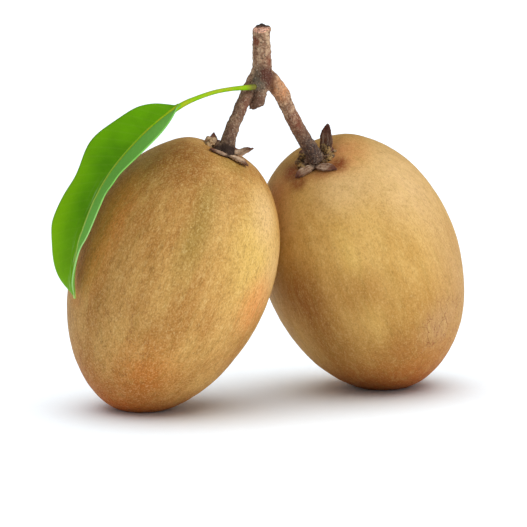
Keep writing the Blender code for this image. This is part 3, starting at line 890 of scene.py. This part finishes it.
# Cuts through the bare ends: a point of each cut and the direction it faces.
TRUNK_CUT = ((-0.6, 2.0, 102.9), (-0.14, -0.42, 1.0))
STUB_CUT = ((-1.9, 2.6, 81.8), (0.26, -0.2, -1.0))


def place(row):
    """A knot measured from the foot of the fork, with its radius."""
    return Vector((*from_fork(row[:3]), row[3]))


def stem_route(fruit):
    """A fruit stem from inside the fork down to the plate of its calyx, which it meets squarely."""
    placed = stem_frame(fruit)
    neck = placed @ Vector((0, 0, PLATE_THICKNESS + STEM_FOOT_LENGTH))
    foot = placed @ Vector((0, 0, PLATE_THICKNESS))
    ends = [Vector((*neck, STEM_NECK_RADIUS)), Vector((*foot, STEM_FOOT_RADIUS))]
    return smooth_route([place(row) for row in STEMS[fruit.name]] + ends, TWIG_STEPS)


def slice_off(mesh, cut):
    """Cuts the end off a tube and closes it."""
    at, facing = from_fork(cut[0]), Vector(cut[1])
    geometry = mesh.verts[:] + mesh.edges[:] + mesh.faces[:]
    done = bmesh.ops.bisect_plane(mesh, geom=geometry, plane_co=at, plane_no=facing, clear_outer=True)
    rim = [part for part in done["geom_cut"] if isinstance(part, bmesh.types.BMEdge)]
    bmesh.ops.contextual_create(mesh, geom=rim)


def limb(rows, cut=None):
    """A limb of the twig as its own mesh, cut at its end."""
    mesh = bmesh.new()
    add_tube(mesh, smooth_route([place(row) for row in rows], TWIG_STEPS), TWIG_SIDES)
    if cut:
        slice_off(mesh, cut)
    return mesh


def add_copy(mesh, other):
    """Adds the other mesh to the first, and drops it."""
    data = bpy.data.meshes.new("limb")
    other.to_mesh(data)
    other.free()
    mesh.from_mesh(data)
    bpy.data.meshes.remove(data)


def twig_mesh():
    """All limbs grown together, with the bark's relief, marked from 0, 1 mm under the cut, to 1 at it."""
    mesh = limb(TRUNK, TRUNK_CUT)
    add_copy(mesh, limb(STUB, STUB_CUT))
    add_copy(mesh, limb(LEAF_PAD))
    for fruit in FRUITS:
        add_tube(mesh, stem_route(fruit), TWIG_SIDES)
    for knot in SWELLINGS:
        add_ball(mesh, place(knot).to_3d(), knot[3])
    made = grown_together(mesh, TWIG_VOXEL)
    at, facing = from_fork(TRUNK_CUT[0]), Vector(TRUNK_CUT[1]).normalized()
    mark(made, "cut", [max(0.0, 1.0 + (corner.co - at).dot(facing)) for corner in made.verts])
    roughen(made, BARK_RELIEF)
    return made


BARK_BEIGE = tint(188, 154, 122)
BARK_BROWN = tint(134, 98, 74)
BARK_DARK = tint(52, 36, 28)
BARK_PALE = tint(222, 204, 180)
BARK_RUST = tint(112, 56, 36)
BARK_ORANGE = tint(206, 144, 98)
# Dark grey-green for painted shade in the crotch of the fork.
BARK_FORK_SHADE = tint(84, 76, 62)
BARK_UMBER = tint(78, 40, 28)
# Dark brown for painted shade under the fork, on the stub and low on the stems.
BARK_SHADE = tint(96, 68, 52)
BARK_VIOLET = tint(66, 50, 44)
WOOD_SALMON = tint(230, 170, 140)
WOOD_PALE = tint(240, 206, 184)
# The bark past the far side of the cut, weathered dark.
RIM_PLACE = (0.6, 4.0, 104.3)
RIM_SIZES = (4.4, 3.0, 2.2)
# The rot that has blackened the foot of the left stem.
ROT_PLACE = (-10.2, -5.4, 68.6)
ROT_SIZES = (6.6, 8.4, 7.0)
# Sizes of the bark's clouds, ragged patches, pits, flecks and the ridges that run up it, and its height.
BARK_CLOUD = 1.4
BARK_RAGGED = 1.2
BARK_PIT = 0.55
BARK_FLECK = 0.4
BARK_RIDGES = (0.5, 0.5, 1.6)
BARK_HEIGHT = 0.25

# Patches of other colour on the bark, some of them painted shade, placed from the foot of the fork: what
# colour, how strong, where and how far they reach.
BARK_PATCHES = [
    (BARK_SHADE, 1.0, (-6.5, 1.0, 80.0), (6.0, 8.0, 14.0)),
    (BARK_RUST, 0.6, (-3.6, 0.0, 82.4), (3.0, 5.0, 6.0)),
    (BARK_SHADE, 1.1, (-8.8, -3.4, 75.0), (4.0, 6.0, 6.0)),
    # Painted shade in the crotch of the fork.
    (BARK_FORK_SHADE, 1.5, (-0.9, 0.8, 88.8), (4.0, 4.4, 6.0)),
    (BARK_UMBER, 1.4, (1.0, 2.4, 90.8), (3.6, 4.0, 3.6)),
    (BARK_RUST, 0.8, (1.6, 1.8, 94.4), (1.6, 3.0, 3.6)),
    (BARK_UMBER, 1.3, (2.0, 2.4, 88.2), (2.2, 4.0, 4.6)),
    (BARK_UMBER, 1.2, (2.4, 3.0, 86.4), (1.6, 3.6, 3.0)),
    (BARK_ORANGE, 0.8, (4.8, 4.8, 86.4), (4.0, 5.6, 5.6)),
    (BARK_SHADE, 1.7, (-1.4, 1.8, 82.8), (3.6, 4.6, 5.4)),
    (BARK_RUST, 1.6, (-2.1, 0.6, 99.4), (1.5, 2.8, 2.0)),
    (BARK_SHADE, 1.0, (11.0, 10.0, 73.6), (5.0, 6.0, 7.0)),
    (BARK_VIOLET, 1.3, (13.4, 11.0, 68.6), (5.4, 7.0, 7.4)),
    (BARK_RUST, 0.7, (8.8, 8.2, 77.4), (3.4, 4.0, 6.0)),
]


def bark_finish():
    """Rough bark: beige and brown flecks with dark pits and pale crumbs, painted shade round the fork and low
    on the stems, and salmon wood at the cut.
    """
    bark = Finish("bark", Specular_IOR_Level=0.25)
    cloud = bark.clouds(BARK_CLOUD, 4)
    pits = bark.clouds(BARK_PIT, 3, shift=4)
    flecks = bark.clouds(BARK_FLECK, 2, shift=12)
    ragged = bark.clouds(BARK_RAGGED, 3, shift=6)
    ridges = bark.clouds(BARK_RIDGES, 3, shift=21)
    colour = bark.mix(bark.rise(cloud, 0.38, 0.6), BARK_BROWN, BARK_BEIGE)
    colour = bark.mix(bark.rise(pits, 0.48, 0.68) * 0.6, colour, BARK_DARK)
    for other, strength, middle, sizes in BARK_PATCHES:
        share = bark.patch(from_fork(middle), sizes) * (ragged * 2.2 - 0.15)
        colour = bark.mix(share * strength, colour, other)
    colour = bark.mix(bark.rise(ridges, 0.5, 0.64) * 0.4, colour, BARK_BROWN)
    colour = bark.mix(bark.rise(ridges, 0.42, 0.3) * 0.45, colour, BARK_RUST)
    colour = bark.mix(bark.rise(pits, 0.58, 0.68) * 0.5, colour, BARK_DARK)
    colour = bark.mix(bark.rise(flecks, 0.56, 0.72) * 0.36, colour, BARK_PALE)
    rot = bark.patch(from_fork(ROT_PLACE), ROT_SIZES, 0.3) * (ragged * 2.6 + 0.1)
    colour = bark.mix(rot, colour, BARK_DARK)
    cut = bark.marked("cut")
    wood = bark.mix(bark.rise(pits, 0.42, 0.6), WOOD_SALMON, BARK_RUST)
    wood = bark.mix(bark.rise(flecks, 0.5, 0.62) * 0.7, wood, WOOD_PALE)
    rim = bark.patch(from_fork(RIM_PLACE), RIM_SIZES, 0.6)
    wood = bark.mix(rim, wood, BARK_DARK)
    colour = bark.mix(bark.rise(cut + ragged * 0.5, 0.95, 1.1), colour, wood)
    bark.feed("Base Color", colour)
    bark.feed("Roughness", 0.75 + pits * 0.2)
    bark.bump(pits * -0.6 + flecks * 0.4, BARK_HEIGHT)
    return bark


twig = add_object("bark", twig_mesh(), bark_finish())
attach(twig, "root")
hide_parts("twig")


# The leaf

# One leathery leaf on its green stalk, which springs from the pad and runs on under the blade as its rib.
# The blade is folded up along its midrib and hangs beside the left fruit, glossy above and paler below.

STALK = [
    (-5.2, -0.8, 87.3, 0.68),
    (-8.8, -1.7, 87.0, 0.58),
    (-13.0, -3.0, 86.3, 0.58),
    (-17.8, -4.8, 84.8, 0.62),
]
# The stalk's root runs straight out of the pad, from this far inside the pad's end to this far past it.
STALK_ROOT_INSIDE = 0.3
STALK_ROOT_OUTSIDE = 1.25
STALK_ROOT_RADIUS = 0.76
STALK_SIDES = 12
STALK_STEPS = 6
MIDRIB = [
    (-22.1, -6.4, 83.1),
    (-27.0, -8.2, 79.6),
    (-31.7, -9.6, 75.5),
    (-37.2, -11.0, 69.6),
    (-41.1, -12.2, 64.4),
    (-44.5, -13.4, 58.2),
    (-47.4, -14.4, 50.9),
    (-48.8, -14.8, 46.2),
    (-49.9, -15.2, 38.5),
    (-49.7, -15.0, 32.8),
]
MIDRIB_STEPS = 18
LEAF_HALF_WIDTH = 9.9
LEAF_THICKNESS = 0.38
FACES = ("upper", "lower")
# How full the oval of the blade is, and how late it draws in to its foot and to its tip.
LEAF_FULLNESS = 0.5
LEAF_FOOT_POINT = 20
LEAF_TIP_POINT = 12
LEAF_FOOT_HALF_WIDTH = 0.6
LEAF_TIP_HALF_WIDTH = 0.3
# How far each half is folded to the front, at the foot and at the tip, in degrees.
LEFT_HALF_TURN = (30, 34)
RIGHT_HALF_TURN = (68, 88)
LEAF_COLUMNS_EACH_SIDE = 24
# How much closer the columns lie towards the midrib.
COLUMN_CROWDING = 1.3
# Waves of the blade: how high they rise at the margin, how many there are, and how far they lag there.
LEAF_WAVE = 0.4
LEAF_WAVES = 2.2
LEAF_WAVE_SLANT = 0.3
# Lateral veins: how far apart along the midrib, how much they slant to the tip, and their relief.
VEIN_SPACING = 2.6
VEIN_SLANT = 0.55
VEIN_RELIEF = 0.003
GROOVE_WIDTH = 0.55
GROOVE_DEPTH = 0.12
# Waves of the left margin: share of the way to the tip, how far out it stands there, and for how long.
MARGIN_WAVES = [(0.12, 0.8, 0.1), (0.34, 1.3, 0.08), (0.5, -0.9, 0.07), (0.69, 0.8, 0.09), (0.86, 1.3, 0.1)]
# The same for the small notch in the right margin.
NOTCH_WAVES = [(0.46, 0.5, 0.03), (0.52, -0.7, 0.03)]
# The rib under the blade: its radius, how far it hangs below, and how far along the blade it ends. The
# blade's slope is taken between the columns this many to either side.
RIB_RADIUS_FOOT = 0.75
RIB_RADIUS_TIP = 0.25
RIB_DROP = 0.25
RIB_END = 0.8
RIB_COLUMNS = 2


def leaf_half_width(share):
    """Half the blade's width at a share of its length: a long oval, narrow at the foot."""
    oval = LEAF_HALF_WIDTH * max(0.0, math.sin(math.pi * share)) ** LEAF_FULLNESS
    oval *= (1 - share**LEAF_TIP_POINT) * (1 - (1 - share) ** LEAF_FOOT_POINT)
    return max(oval, LEAF_FOOT_HALF_WIDTH * (1 - share) + LEAF_TIP_HALF_WIDTH * share)


def leaf_grid(route):
    """Points of the blade, each with how far it is along, across and in from the margin."""
    grid, marks = [], []
    travelled = 0.0
    for row, centre in enumerate(route):
        share = row / (len(route) - 1)
        ahead, behind = route[min(row + 1, len(route) - 1)], route[max(row - 1, 0)]
        travelled += (centre - behind).length
        along = (ahead - behind).normalized()
        right = Vector((0, -1, 0)).cross(along).normalized()
        front = right.cross(along).normalized()
        if front.y > 0:
            front.negate()
        points, line = [], []
        for column in range(-LEAF_COLUMNS_EACH_SIDE, LEAF_COLUMNS_EACH_SIDE + 1):
            out = column / LEAF_COLUMNS_EACH_SIDE
            out = math.copysign(abs(out) ** COLUMN_CROWDING, out)
            foot, tip = RIGHT_HALF_TURN if out > 0 else LEFT_HALF_TURN
            angle = math.radians(foot + (tip - foot) * share)
            reach = right * math.cos(angle) + front * math.sin(angle)
            face = front * math.cos(angle) - right * math.sin(angle)
            waves = NOTCH_WAVES if out > 0 else MARGIN_WAVES
            half = leaf_half_width(share)
            half += sum(stands * math.exp(-(((share - at) / long) ** 2)) for at, stands, long in waves)
            across = half * out
            lift = LEAF_WAVE * out**2 * math.sin(math.tau * (LEAF_WAVES * share + LEAF_WAVE_SLANT * out))
            vein = (travelled - abs(across) * VEIN_SLANT) / VEIN_SPACING
            lift += VEIN_RELIEF * math.cos(math.tau * vein) * (1 - out**2)
            lift -= GROOVE_DEPTH * math.exp(-((across / GROOVE_WIDTH) ** 2))
            points.append(centre + reach * across + face * lift)
            line.append((travelled, across, half - abs(across)))
        grid.append(points)
        marks.append(line)
    return grid, marks


def leaf_mesh():
    """Blade and stalk, each point marked with where it is on the blade, or as part of the stalk."""
    midrib = smooth_route([from_fork(knot) for knot in MIDRIB], MIDRIB_STEPS)
    grid, marks = leaf_grid([point.to_3d() for point in midrib])
    mesh = bmesh.new()
    add_blade(mesh, grid, LEAF_THICKNESS)
    start, end = (place(row).to_3d() for row in LEAF_PAD)
    away = (end - start).normalized()
    knots = []
    for past_end in (-STALK_ROOT_INSIDE, STALK_ROOT_OUTSIDE):
        knots.append(Vector((*(end + away * past_end), STALK_ROOT_RADIUS)))
    knots += [place(row) for row in STALK]
    middle = LEAF_COLUMNS_EACH_SIDE
    for row in range(0, round(len(grid) * RIB_END), MIDRIB_STEPS):
        share = row / (len(grid) - 1)
        across = grid[row][middle + RIB_COLUMNS] - grid[row][middle - RIB_COLUMNS]
        down = grid[row + 1][middle] - grid[max(row - 1, 0)][middle]
        drop = down.cross(across).normalized() * RIB_DROP
        radius = RIB_RADIUS_FOOT + (RIB_RADIUS_TIP - RIB_RADIUS_FOOT) * share
        knots.append(Vector((*(grid[row][middle] - drop), radius)))
    stalk = bmesh.new()
    add_tube(stalk, smooth_route(knots, STALK_STEPS), STALK_SIDES)
    blade_points = len(mesh.verts)
    add_copy(mesh, stalk)
    bmesh.ops.recalc_face_normals(mesh, faces=mesh.faces)
    rest = len(mesh.verts) - blade_points
    for name, part in (("along", 0), ("across", 1), ("inward", 2)):
        mark(mesh, name, [point[part] for line in marks for point in line for _ in FACES] + [0.0] * rest)
    mark(mesh, "stalk", [0.0] * blade_points + [1.0] * rest)
    return mesh


LEAF_GREEN = tint(98, 158, 0)
LEAF_DEEP = tint(84, 138, 4)
LEAF_SHADE = tint(52, 110, 4)
LEAF_YELLOW = tint(132, 186, 0)
# Pale bluish green painted on the far half as a reflection of the sky, and a paler tint for the painted
# glints on the margin and beside the midrib.
LEAF_PAINTED_SKY_SHEEN = tint(118, 190, 80)
LEAF_PAINTED_GLINT = tint(196, 224, 164)
LEAF_VEIN = tint(206, 226, 110)
STALK_GREEN = tint(162, 178, 28)
STALK_ROOT = tint(104, 92, 44)
# Where the stalk's green turns brown as it leaves the pad.
STALK_ROOT_PLACE = (-2.0, 0.2, 87.4)
STALK_ROOT_SIZES = (3.4, 3.4, 3.0)
# Darker clouds on the blade: where, how far they reach and how strong.
LEAF_CLOUDS = [
    ((-41.5, -12.0, 69.5), (8.0, 10.0, 10.0), 0.4),
    ((-46.5, -14.0, 58.0), (5.0, 10.0, 9.0), 0.25),
]
# Sizes of the leaf's clouds, of its fine grain, and of the painted glints beside the midrib, across and
# along.
LEAF_CLOUD = 7.0
LEAF_GRAIN = 0.6
LEAF_THREADS = (0.5, 9.0, 1.0)
STALK_CLOUD = 2.0
LEAF_HEIGHT = 0.04


def leaf_finish():
    """Fresh green, deeper in clouds, the far half painted bluish as a sky reflection, with a pale midrib and
    a margin painted pale as a highlight.
    """
    leaf = Finish("leaf_green", Specular_IOR_Level=0.08)
    along = leaf.marked("along")
    across = leaf.marked("across")
    inward = leaf.marked("inward")
    stalk = leaf.marked("stalk")
    aside = abs(across)
    cloud = leaf.clouds(LEAF_CLOUD, 2)
    deep = leaf.rise(cloud, 0.4, 0.7) * 0.5 + leaf.rise(across, -5.5, -0.5) * 0.25
    colour = leaf.mix(deep, LEAF_GREEN, LEAF_DEEP)
    colour = leaf.mix(leaf.rise(across, -3.0, -9.0) * leaf.rise(along, 10, 45) * 0.7, colour, LEAF_YELLOW)
    colour = leaf.mix(leaf.rise(along, 38, 56) * 0.4, colour, LEAF_YELLOW)
    for middle, sizes, strength in LEAF_CLOUDS:
        share = leaf.patch(from_fork(middle), sizes) * (0.4 + cloud * 1.2)
        colour = leaf.mix(share * strength, colour, LEAF_SHADE)
    # The far half, seen edge-on, is painted pale bluish as a reflection of the sky, and brighter against its
    # shade.
    colour = leaf.mix(leaf.rise(across, 0.0, 1.2) * 0.85, colour, LEAF_PAINTED_SKY_SHEEN)
    phase = (along - aside * VEIN_SLANT) * (math.tau / VEIN_SPACING)
    veins = leaf.rise(phase.cosine(), 0.7, 1.0)
    colour = leaf.mix(veins * 0.02, colour, LEAF_VEIN)
    on_blade = leaf.node("CombineXYZ", {}, {"X": across, "Y": along})
    # The pale threads beside the midrib are painted glints.
    threads = leaf.clouds(LEAF_THREADS, 2, place=on_blade)
    beside = leaf.rise(across, -2.6, -0.4) * leaf.rise(across, 3.0, 0.5) * leaf.rise(along, 22, 44)
    colour = leaf.mix(leaf.rise(threads, 0.5, 0.7) * beside * 0.6, colour, LEAF_PAINTED_GLINT)
    colour = leaf.mix(leaf.rise(aside, 0.5, 0.15) * 0.85, colour, LEAF_VEIN)
    # The pale margin is a painted highlight along the edge.
    rim = leaf.rise(inward, 0.2, 0.05) * (0.08 + leaf.rise(along, 26, 50) * 0.3)
    colour = leaf.mix(rim, colour, LEAF_PAINTED_GLINT)
    root = leaf.patch(from_fork(STALK_ROOT_PLACE), STALK_ROOT_SIZES, 0.3)
    green = leaf.mix(leaf.rise(leaf.clouds(STALK_CLOUD), 0.35, 0.65), STALK_GREEN, LEAF_YELLOW)
    colour = leaf.mix(stalk, colour, leaf.mix(root * 0.9, green, STALK_ROOT))
    fine = leaf.clouds(LEAF_GRAIN, 3, shift=4)
    colour = leaf.mix(leaf.rise(fine, 0.5, 0.75) * 0.15, colour, LEAF_DEEP)
    leaf.feed("Base Color", colour)
    leaf.feed("Roughness", 0.42 + fine * 0.12)
    leaf.bump(fine * 0.85 + veins * 0.15, LEAF_HEIGHT)
    return leaf


leaf = add_object("leaf_blade", leaf_mesh(), leaf_finish())
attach(leaf, "root")
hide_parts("leaf")


# The studio

# A plain white floor under a bright even sky, one large soft lamp from the right and the front, and the
# camera at the height and distance from which the pair is seen.

# The floor's side and the camera's distance are in metres, the lamps' spreads in degrees.
FLOOR_SIDE = 40.0
PAPER_COLOURS = (tint(240, 244, 249), tint(244, 248, 253))
PAPER_CLOUD = 3.0
SKY_STRENGTH = 0.46
KEY_FROM = (0.75, -0.5, 0.55)
KEY_SPREAD = 40
KEY_STRENGTH = 2.25
OVERHEAD_FROM = (0.0, -0.1, 1.0)
OVERHEAD_SPREAD = 76
OVERHEAD_STRENGTH = 2.9
LAMP_COLOUR = (0.94, 0.985, 1.0)
CAMERA_HEIGHT_ANGLE = math.radians(8)
CAMERA_DISTANCE = 0.7
# How far above the foot of the fork the camera aims.
CAMERA_AIM = 39.98
FOCAL_PIXELS = 2604
PICTURE_PIXELS = 527
SENSOR = 36.0

floor_mesh = bmesh.new()
bmesh.ops.create_grid(floor_mesh, x_segments=1, y_segments=1, size=FLOOR_SIDE / 2 / MM)
paper = Finish("paper", Roughness=0.9, Specular_IOR_Level=0.1)
paper.feed("Base Color", paper.mix(paper.clouds(PAPER_CLOUD, 2), *PAPER_COLOURS))
floor = add_object("floor", floor_mesh, paper)

world = bpy.data.worlds.new("sky")
world.use_nodes = True
world.node_tree.nodes["Background"].inputs["Color"].default_value = (1.0, 1.0, 1.0, 1.0)
world.node_tree.nodes["Background"].inputs["Strength"].default_value = SKY_STRENGTH
bpy.context.scene.world = world
bpy.context.scene.view_settings.view_transform = "Standard"


def soft_sun(name, stands_towards, spread, strength):
    """A distant lamp, soft for how wide it spreads over the sky, in degrees."""
    light = bpy.data.lights.new(name, "SUN")
    light.color = LAMP_COLOUR
    light.angle = math.radians(spread)
    light.energy = strength
    lamp = bpy.data.objects.new(name, light)
    lamp.rotation_euler = (-Vector(stands_towards)).to_track_quat("-Z", "Y").to_euler()
    bpy.context.scene.collection.objects.link(lamp)
    return lamp


key = soft_sun("key", KEY_FROM, KEY_SPREAD, KEY_STRENGTH)
overhead = soft_sun("overhead", OVERHEAD_FROM, OVERHEAD_SPREAD, OVERHEAD_STRENGTH)
# The first lamp shades the pair, and the second only whitens the floor.
for lamp, floor_is in ((key, "EXCLUDE"), (overhead, "INCLUDE")):
    lit = bpy.data.collections.new("lit_by_" + lamp.name)
    lit.objects.link(floor)
    lit.collection_objects[0].light_linking.link_state = floor_is
    lamp.light_linking.receiver_collection = lit

aim = from_fork((0, 0, CAMERA_AIM)) * MM
back_off = Vector((0, -math.cos(CAMERA_HEIGHT_ANGLE), math.sin(CAMERA_HEIGHT_ANGLE))) * CAMERA_DISTANCE
lens = bpy.data.cameras.new("camera")
lens.sensor_width = SENSOR
lens.lens = FOCAL_PIXELS / PICTURE_PIXELS * SENSOR
camera = bpy.data.objects.new("camera", lens)
camera.location = aim + back_off
camera.rotation_euler = (-back_off).to_track_quat("-Z", "Y").to_euler()
bpy.context.scene.collection.objects.link(camera)
bpy.context.scene.camera = camera
